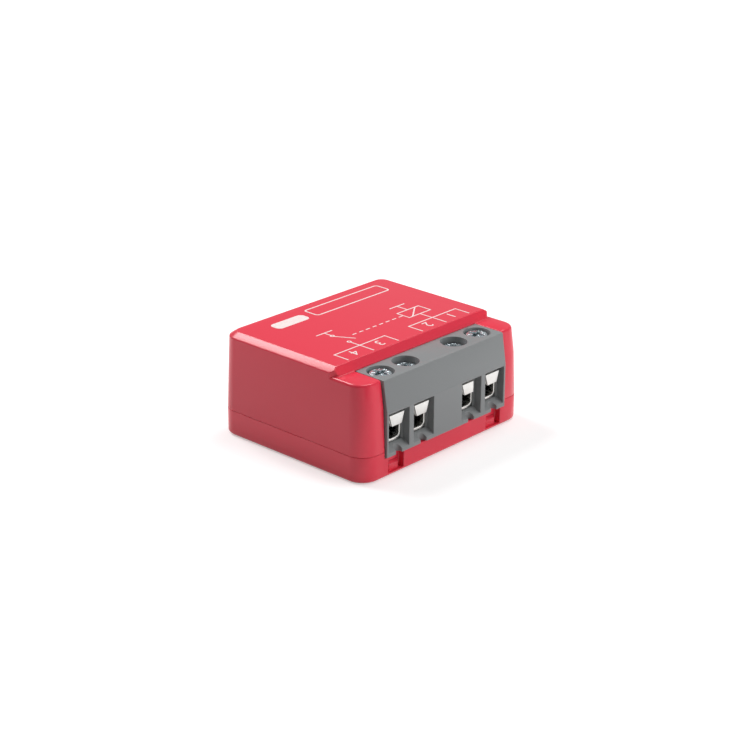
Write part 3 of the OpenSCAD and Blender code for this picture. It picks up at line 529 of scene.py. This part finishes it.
def dull_inside(tree):
    """A mask of painted shade that is 0 at the cages' mouths and grows behind them, where the insides lie in
    shade.
    """
    unshaded_end = cage_front_y + 0.35 * MM
    full_shade_start = cage_front_y + 1.6 * MM
    return spread(tree, along_axes(tree)["Y"], (unshaded_end, full_shade_start), (0.0, 0.85))


# The nickel's own colour is darkened by painted shade behind the cages' mouths.
cage_nickel = plated_finish("clamp_cage_nickel", (0.86, 0.85, 0.82), (0.78, 0.77, 0.74), 0.24,
                            streaks=(1500.0, 500.0, 1500.0), bump=0.03, painted_shade=dull_inside)
for pole in range(1, pole_count + 1):
    cage = soft_edged(f"clamp_cage_{pole}", f"clamp_cage_{pole}_bent", cage_nickel, edge=0.08 * MM,
                      body=f"cage_{pole}")

# Terminal screws: steel machine screws with a driven cross recess, zinc plated and passivated to a
# cold blue. Each turns in the tapped top of its cage, and its head rests in the block's well.
head_height = 1.6 * MM
core_radius = 0.80 * MM
crest_radius = 1.0 * MM
thread_pitch = 0.4 * MM
recess_turns_deg = (14.0, 38.0, 62.0, 8.0)


def ease(value):
    """A smooth step from 0 to 1."""
    value = min(max(value, 0.0), 1.0)
    return value * value * (3.0 - 2.0 * value)


def recess_depth(along, across, radius):
    """Depth of the cross recess at a point of the head, in millimetres: four tapered wings that meet
    in a deeper middle, with a fine radial tick on the head between the wings."""
    wing_depth = 0.80 - 0.34 * along
    wing_half_width = 0.33 - 0.07 * along
    wing_wall = 0.12
    wing_reach = 1.22
    wing_run_out = 0.22
    middle_depth = 0.86
    middle_radius = 0.56
    middle_wall = 0.16
    tick_depth = 0.05
    tick_half_width = 0.07
    tick_wall = 0.05
    tick_start = 0.72
    tick_start_run = 0.06
    tick_end = 1.30
    tick_end_run = 0.08
    within_wing = (ease((wing_half_width - across) / wing_wall + 0.5)
                   * ease((wing_reach - along) / wing_run_out))
    within_middle = ease((middle_radius - radius) / middle_wall)
    from_diagonal = abs(along - across) / math.sqrt(2.0)
    within_tick = (ease((tick_half_width - from_diagonal) / tick_wall)
                   * ease((radius - tick_start) / tick_start_run) * ease((tick_end - radius) / tick_end_run))
    return max(wing_depth * within_wing, middle_depth * within_middle, tick_depth * within_tick)


def screw_blank(name, centre, top_z, tip_z, head_radius, turn):
    """Head, neck and core of a screw as one closed skin of rings round its axis. The point attribute
    recess holds painted shade, which grows from 0 on the head's face to its deepest share in the bottom of
    the cross."""
    around = 144
    face_rings = 42
    rim = 0.20 * MM
    crown = 0.07 * MM
    head_bevel = 0.10 * MM
    tip_bevel = 0.25 * MM
    unshaded_depth = 0.05 * MM
    painted_shade_run = 0.45 * MM
    deepest_painted_shade = 0.78
    crease = math.radians(38.0)
    flat = head_radius - rim
    head_z = top_z - head_height
    spokes = [2.0 * math.pi * spoke / around for spoke in range(around)]
    rings = []
    painted_shade = []
    for step in range(1, face_rings + 1):
        radius = flat * step / face_rings
        face_z = top_z - crown * (radius / flat) ** 2
        ring = []
        for angle in spokes:
            sides = (abs(radius * math.cos(angle - turn)) / MM, abs(radius * math.sin(angle - turn)) / MM)
            sunk = recess_depth(max(sides), min(sides), radius / MM) * MM
            painted_shade.append(deepest_painted_shade * ease((sunk - unshaded_depth) / painted_shade_run))
            ring.append((radius, angle, face_z - sunk))
        rings.append(ring)
    outline = []
    for tilt_deg in (22.5, 45.0, 67.5, 90.0):
        tilt = math.radians(tilt_deg)
        outline.append((flat + rim * math.sin(tilt), top_z - crown - rim * (1.0 - math.cos(tilt))))
    outline += [(head_radius, head_z + head_bevel), (head_radius - head_bevel, head_z), (core_radius, head_z),
                (core_radius, tip_z + tip_bevel), (core_radius - tip_bevel, tip_z)]
    rings += [[(radius, angle, z) for angle in spokes] for radius, z in outline]
    skin = bmesh.new()
    made = [[skin.verts.new((centre[0] + radius * math.cos(angle), centre[1] + radius * math.sin(angle), z))
             for radius, angle, z in ring] for ring in rings]
    middle = skin.verts.new((centre[0], centre[1], top_z - recess_depth(0.0, 0.0, 0.0) * MM))
    end = skin.verts.new((centre[0], centre[1], tip_z))
    for spoke in range(around):
        after = (spoke + 1) % around
        skin.faces.new((middle, made[0][spoke], made[0][after]))
        for inner, outer in zip(made, made[1:]):
            skin.faces.new((inner[spoke], outer[spoke], outer[after], inner[after]))
        skin.faces.new((end, made[-1][after], made[-1][spoke]))
    mesh = bpy.data.meshes.new(name)
    skin.to_mesh(mesh)
    skin.free()
    mesh.shade_smooth()
    mesh.set_sharp_from_angle(angle=crease)
    painted_shade += [0.0] * (around * len(outline)) + [deepest_painted_shade, 0.0]
    mesh.attributes.new("recess", "FLOAT", "POINT").data.foreach_set("value", painted_shade)
    return mesh


def screw_thread_tree():
    """A helical ridge on a screw's core: a diamond section swept up a spiral."""
    tree, given, result = node_group(
        "screw_thread", "GeometryNodeTree",
        {"Geometry": "Geometry", "Core Radius": "Float", "Crest Radius": "Float", "Pitch": "Float",
         "Turns": "Float", "Foot": "Vector", "Plating": "Material"},
        {"Geometry": "Geometry"})
    rise = reckon(tree, "MULTIPLY", given["Pitch"], given["Turns"])
    helix = place(tree, "GeometryNodeCurveSpiral", {
        "Resolution": 40, "Rotations": given["Turns"], "Start Radius": given["Core Radius"],
        "End Radius": given["Core Radius"], "Height": rise, "Reverse": False}).outputs[0]
    upright = place(tree, "GeometryNodeSetCurveNormal", {"Curve": helix}, mode="Z_UP").outputs[0]
    crest = reckon(tree, "SUBTRACT", given["Crest Radius"], given["Core Radius"])
    section = place(tree, "GeometryNodeCurvePrimitiveCircle", {"Resolution": 4, "Radius": crest}).outputs[0]
    ridge = place(tree, "GeometryNodeCurveToMesh", {
        "Curve": upright, "Profile Curve": section, "Fill Caps": True}).outputs[0]
    placed = place(tree, "GeometryNodeTransform", {
        "Geometry": ridge, "Translation": given["Foot"]}).outputs[0]
    flat = place(tree, "GeometryNodeSetShadeSmooth", {"Geometry": placed, "Shade Smooth": False}).outputs[0]
    joined = place(tree, "GeometryNodeJoinGeometry", {0: given["Geometry"]})
    feed(tree, joined, {0: flat})
    coat(tree, joined.outputs[0], given["Plating"], result)
    return tree


def dull_recess(tree):
    """The mask of painted shade that each screw carries in its point attribute recess."""
    return place(tree, "ShaderNodeAttribute", attribute_name="recess").outputs["Fac"]


screw_thread = screw_thread_tree()
# The cross recesses are darkened by painted shade that grows with their depth.
screw_zinc = plated_finish("terminal_screw_zinc", (0.66, 0.73, 0.76), (0.54, 0.63, 0.68), 0.26, bump=0.03,
                           painted_shade=dull_recess)
for pole, turn_deg in enumerate(recess_turns_deg, start=1):
    low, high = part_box(f"terminal_screw_{pole}")
    axis = ((low[0] + high[0]) / 2, (low[1] + high[1]) / 2)
    blank = screw_blank(f"terminal_screw_{pole}_zinc", axis, high[2], low[2], (high[0] - low[0]) / 2,
                        math.radians(turn_deg))
    blank.materials.append(screw_zinc)
    screw = set_out(blank.name, blank)
    thread_foot = low[2] + 0.45 * MM
    thread_length = high[2] - head_height - low[2] - 0.7 * MM
    grown(screw, screw_thread, {
        "Core Radius": core_radius, "Crest Radius": crest_radius, "Pitch": thread_pitch,
        "Turns": thread_length / thread_pitch, "Foot": (*axis, thread_foot), "Plating": screw_zinc})
    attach(screw, f"screw_{pole}")
    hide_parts(f"terminal_screw_{pole}")

# Upper housing: the drafted shell of the case, moulded in the same red polycarbonate. Its raised
# roof has a broad bevel, and it drops over the cover's lip down to a fine seam line.
roof_ends = [Vector((side * 16.57, -7.2, 14.2)) * MM for side in (-1, 1)]
upper_housing = soft_edged("upper_housing", "upper_housing_moulding", case_red, edge=0.14 * MM,
                           sharp_deg=22.0, fine_at=(seam_z,), keep_sharp=roof_ends)

# Roof print: one pass of off-white ink, pad printed on the roof and read from the back of the case.
# Two brackets with plain numbers mark the poles, over a coil and contact diagram and a blank field.
# Its layout is in the reader's millimetres, across to the right and then up.
roof_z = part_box("upper_housing")[1][2]
ink_line = 0.20
row_ink = 0.03 * MM
leg_ink = 0.9 * row_ink
band_ink = 1.2 * row_ink
stroke_ink = 0.8 * row_ink


def ink_finish():
    """Off-white ink that lies a little thin in places, so the red shows through it."""
    full_ink = (0.88, 0.80, 0.78)
    thin_ink = (0.84, 0.45, 0.45)
    ink_depth = 0.01 * MM
    material, tree, shader = new_finish("roof_print_ink")
    cover = speckle(tree, spot(tree), 2400.0, detail=3.0)
    thin = spread(tree, cover, (0.35, 0.7), (0.0, 0.35))
    feed(tree, shader, {
        "Base Color": blend(tree, thin, full_ink, thin_ink),
        "Roughness": spread(tree, cover, (0.3, 0.7), (0.42, 0.56)),
        "Normal": relief(tree, cover, 0.15, ink_depth)})
    return material


def ink_row_tree():
    """A row of equal ink marks, stepped along the roof."""
    tree, given, result = node_group(
        "ink_row", "GeometryNodeTree",
        {"Count": "Int", "Start": "Vector", "Step": "Vector", "Mark": "Vector", "Ink": "Material"},
        {"Geometry": "Geometry"})
    line = place(tree, "GeometryNodeMeshLine", {
        "Count": given["Count"], "Start Location": given["Start"], "Offset": given["Step"]}, mode="OFFSET")
    mark = place(tree, "GeometryNodeMeshCube", {"Size": given["Mark"]})
    marks = place(tree, "GeometryNodeInstanceOnPoints", {
        "Points": line.outputs[0], "Instance": mark.outputs[0]})
    coat(tree, marks.outputs[0], given["Ink"], result)
    return tree


roof_ink = ink_finish()
ink_row = ink_row_tree()
print_skin = bmesh.new()


def print_row(count, start, step, mark, height=row_ink):
    """Adds a row of marks to the print. Marks that cross get different heights, so that no two of their
    faces lie in one plane."""
    carrier = set_out("ink_row", bpy.data.meshes.new("ink_row"))
    grown(carrier, ink_row, {
        "Count": count, "Start": (-start[0] * MM, -start[1] * MM, roof_z),
        "Step": (-step[0] * MM, -step[1] * MM, 0.0), "Mark": (mark[0] * MM, mark[1] * MM, height),
        "Ink": roof_ink})
    print_skin.from_mesh(carrier.data)
    bpy.data.objects.remove(carrier)


def print_band(outer, inner, height=band_ink):
    """Adds a closed band of ink between two outlines of as many points each, or fills the outer one."""
    levels = []
    for z in (roof_z - height / 2, roof_z + height / 2):
        levels.append([[print_skin.verts.new((-u * MM, -v * MM, z)) for u, v in loop]
                       for loop in (outer, inner) if loop])
    low_loops, high_loops = levels
    count = len(outer)
    for here in range(count):
        after = (here + 1) % count
        for low_loop, high_loop in zip(low_loops, high_loops):
            print_skin.faces.new((low_loop[here], low_loop[after], high_loop[after], high_loop[here]))
        if inner:
            for loops in levels:
                print_skin.faces.new((loops[0][here], loops[0][after], loops[1][after], loops[1][here]))
    if not inner:
        for loops in levels:
            print_skin.faces.new(loops[0])


def arc(centre, radius, start_deg, sweep_deg):
    """Points of an arc, in six steps."""
    steps = 6
    angles = [math.radians(start_deg + sweep_deg * step / steps) for step in range(steps + 1)]
    return [(centre[0] + radius * math.cos(angle), centre[1] + radius * math.sin(angle)) for angle in angles]


def pill(centre, width, height, radius):
    """Outline of a rectangle with round corners."""
    points = []
    for quarter, (side_x, side_y) in enumerate(((1, 1), (-1, 1), (-1, -1), (1, -1))):
        corner = (centre[0] + side_x * (width / 2 - radius), centre[1] + side_y * (height / 2 - radius))
        points += arc(corner, radius, 90.0 * quarter, 90.0)
    return points


def print_frame(centre, width, height, radius, inner_radius, line=ink_line):
    """Adds the outline of a rectangle with round corners."""
    print_band(pill(centre, width, height, radius),
               pill(centre, width - 2 * line, height - 2 * line, inner_radius))


def print_stroke(start, end):
    """Adds a straight stroke with round ends."""
    heading = math.degrees(math.atan2(end[1] - start[1], end[0] - start[0]))
    half = ink_line / 2
    outline = arc(end, half, heading - 90.0, 180.0) + arc(start, half, heading + 90.0, 180.0)
    print_band(outline, None, stroke_ink)


def print_number(number, centre, height):
    """Adds one plain number."""
    digit_share = 0.70
    text = bpy.data.curves.new("pole_number", "FONT")
    text.body = str(number)
    text.size = height * MM / digit_share
    text.align_x = "CENTER"
    text.align_y = "CENTER"
    text.extrude = row_ink / 2
    text.resolution_u = 4
    carrier = set_out("pole_number", text)
    digits = settled_mesh(carrier)
    bpy.data.objects.remove(carrier)
    to_roof = Matrix.Translation((-centre[0] * MM, -centre[1] * MM, roof_z))
    digits.transform(to_roof @ Matrix.Rotation(math.pi, 4, "Z"))
    print_skin.from_mesh(digits)


pole_pitch = 5.08
pair_x = 1.5 * pole_pitch
rail_y = 4.45
leg_y, leg_length = 5.80, 2.65
number_y, number_height = 5.75, 1.7
for side in (-1, 1):
    print_row(1, (side * pair_x, rail_y), (0, 0), (2 * pole_pitch + ink_line, ink_line))
    print_row(3, (side * pair_x - pole_pitch, leg_y), (pole_pitch, 0), (ink_line, leg_length), leg_ink)
for pole, pitches_across in enumerate((-2, -1, 1, 2), start=1):
    print_number(pole, (pitches_across * pole_pitch, number_y), number_height)

foot_y, foot_width = -2.4, 3.2
coil_x, coil_y = -pair_x, 0.9
coil_width, coil_height = 4.8, 2.6
coil_corner, coil_bore_corner = 0.12, 0.06
slash_x, slash_y = 1.58, 1.2
print_stroke((coil_x, rail_y), (coil_x, coil_y + coil_height / 2))
print_frame((coil_x, coil_y), coil_width, coil_height, coil_corner, coil_bore_corner)
print_stroke((coil_x - slash_x, coil_y - slash_y), (coil_x + slash_x, coil_y + slash_y))
print_stroke((coil_x, coil_y - coil_height / 2), (coil_x, foot_y))

dash_count, dash_start, dash_step, dash_length = 8, -4.75, 1.38, 0.8
print_row(dash_count, (dash_start, coil_y), (dash_step, 0), (dash_length, ink_line))

upper_ring_y, lower_ring_y = 2.45, -0.8
ring_width, ring_radius, ring_bore = 0.7, 0.34, 0.14
ring_meet = 0.3
blade_foot, blade_tip = (pair_x, -0.55), (6.05, 2.15)
print_stroke((pair_x, rail_y), (pair_x, upper_ring_y + ring_meet))
print_frame((pair_x, upper_ring_y), ring_width, ring_width, ring_radius, ring_bore)
print_stroke(blade_foot, blade_tip)
print_frame((pair_x, lower_ring_y), ring_width, ring_width, ring_radius, ring_bore)
print_stroke((pair_x, lower_ring_y - ring_meet), (pair_x, foot_y))
print_row(2, (-pair_x, foot_y), (2 * pair_x, 0), (foot_width, ink_line))

field_middle, field_width, field_height = (-4.6, -9.5), 15.6, 3.0
patch_middle, patch_width, patch_height = (7.7, -9.1), 6.4, 2.2
print_frame(field_middle, field_width, field_height, 0.6, 0.4, line=1.2 * ink_line)
print_band(pill(patch_middle, patch_width, patch_height, 0.8), None)

bmesh.ops.recalc_face_normals(print_skin, faces=print_skin.faces)
print_mesh = bpy.data.meshes.new("roof_print")
print_skin.to_mesh(print_mesh)
print_skin.free()
print_mesh.materials.clear()
print_mesh.materials.append(roof_ink)
for face in print_mesh.polygons:
    face.material_index = 0
roof_print = set_out("roof_print", print_mesh)
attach(roof_print, "root")

# Control button: a small red cap in the cover's floor, held by its flange above a ledge. It presses
# the switch's plunger when it is pushed in.
button_red = moulded_finish("button_red_moulding", (0.70, 0.012, 0.02), 0.42, grain=4200.0, bump=0.18)
control_button = soft_edged("control_button", "control_button_moulding", button_red, edge=0.10 * MM,
                            body="button")

# Studio: a pale paper floor that is open under the part and clear from below, a broad soft light behind,
# one over the top and a fill from the front right, and the camera at the photograph's angle.
floor_z = -0.02 * MM
floor_edge = pill((0.0, 0.0), 3000.0, 3000.0, 100.0)
floor_hole = pill((0.0, 0.15), 32.3, 26.5, 2.4)


def ring_floor(outer, inner):
    """A flat sheet between two outlines of as many points each."""
    count = len(outer)
    quads = []
    for here in range(count):
        after = (here + 1) % count
        quads.append((here, after, after + count, here + count))
    mesh = bpy.data.meshes.new("studio_floor")
    mesh.from_pydata([(x * MM, y * MM, floor_z) for x, y in outer + inner], [], quads)
    return mesh


def seen_directly(tree, share):
    """1 for rays from the camera, and a share for those that a shiny or clear surface sends on."""
    path = place(tree, "ShaderNodeLightPath").outputs
    sent_on = reckon(tree, "MAXIMUM", path["Is Glossy Ray"], path["Is Transmission Ray"])
    return reckon(tree, "MAXIMUM", path["Is Camera Ray"], reckon(tree, "MULTIPLY", sent_on, share))


def paper_finish():
    """Matt paper that the eye sees brighter further from the part, and doesn't see from below."""
    near_and_far = (0.15, 0.8)
    glow_near_and_far = (0.45, 0.92)
    material = bpy.data.materials.new("studio_paper")
    tree = bare_tree(material)
    away = place(tree, "ShaderNodeVectorMath", {0: spot(tree)}, operation="LENGTH").outputs["Value"]
    paler = spread(tree, away, near_and_far, glow_near_and_far)
    lift = reckon(tree, "MULTIPLY", seen_directly(tree, 1.0), paler)
    matt = place(tree, "ShaderNodeBsdfDiffuse", {"Color": (0.70, 0.70, 0.70)})
    glow = place(tree, "ShaderNodeEmission", {"Color": (1.0, 1.0, 1.0), "Strength": lift})
    paper = place(tree, "ShaderNodeAddShader", {0: matt.outputs[0], 1: glow.outputs[0]})
    clear = place(tree, "ShaderNodeBsdfTransparent")
    from_below = place(tree, "ShaderNodeNewGeometry").outputs["Backfacing"]
    sheet = place(tree, "ShaderNodeMixShader", {0: from_below, 1: paper.outputs[0], 2: clear.outputs[0]})
    place(tree, "ShaderNodeOutputMaterial", {"Surface": sheet.outputs[0]})
    return material


def studio_walls():
    """White walls all round, which light the part much less than the camera sees them."""
    light_and_white = (0.135, 1.0)
    world = bpy.data.worlds.new("studio")
    tree = bare_tree(world)
    strength = spread(tree, seen_directly(tree, 0.3), (0.0, 1.0), light_and_white)
    walls = place(tree, "ShaderNodeBackground", {"Color": (1.0, 1.0, 1.0), "Strength": strength})
    place(tree, "ShaderNodeOutputWorld", {"Surface": walls.outputs[0]})
    return world


def softbox(name, direction, distance, size, radiance, mirrored=True):
    """A square light that faces the object, with its radiance given instead of its power. One that isn't
    mirrored lights the surfaces but leaves no reflection of itself on them."""
    aimed_at = Vector((0, 0, 8 * MM))
    lamp = bpy.data.lights.new(name, "AREA")
    lamp.shape = "SQUARE"
    lamp.size = size
    lamp.energy = radiance * math.pi * size * size
    holder = set_out(name, lamp)
    aim = Vector(direction).normalized()
    holder.location = aim * distance + aimed_at
    holder.rotation_mode = "QUATERNION"
    holder.rotation_quaternion = aim.to_track_quat("Z", "Y")
    holder.visible_glossy = mirrored


floor_mesh = ring_floor(floor_edge, floor_hole)
floor_mesh.materials.append(paper_finish())
floor = set_out("studio_floor", floor_mesh)
floor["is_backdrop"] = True
bpy.context.scene.world = studio_walls()
softbox("key_behind", direction=(-0.08, 0.63, 0.77), distance=0.40, size=0.18, radiance=10.5)
softbox("over_top", direction=(0.35, -0.10, 0.93), distance=0.50, size=0.30, radiance=4.6)
softbox("fill_front", direction=(0.42, -0.90, 0.10), distance=0.50, size=0.35, radiance=4.7, mirrored=False)

camera_data = bpy.data.cameras.new("camera")
camera_data.lens = 91.87
camera_data.sensor_width = 36.0
camera_data.clip_start = 0.01
camera_data.clip_end = 10.0
camera = set_out("camera", camera_data)
azimuth = math.radians(-47.12)
elevation = math.radians(21.78)
roll = math.radians(0.18)
back = Vector((math.sin(azimuth) * math.cos(elevation), -math.cos(azimuth) * math.cos(elevation),
               math.sin(elevation)))
camera.rotation_mode = "QUATERNION"
camera.rotation_quaternion = (-back).to_track_quat("-Z", "Y") @ Matrix.Rotation(roll, 3, "Z").to_quaternion()
camera.location = Vector((-184.161, -169.874, 108.86)) * MM
bpy.context.scene.camera = camera
bpy.context.scene.view_settings.view_transform = "Standard"

low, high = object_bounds()
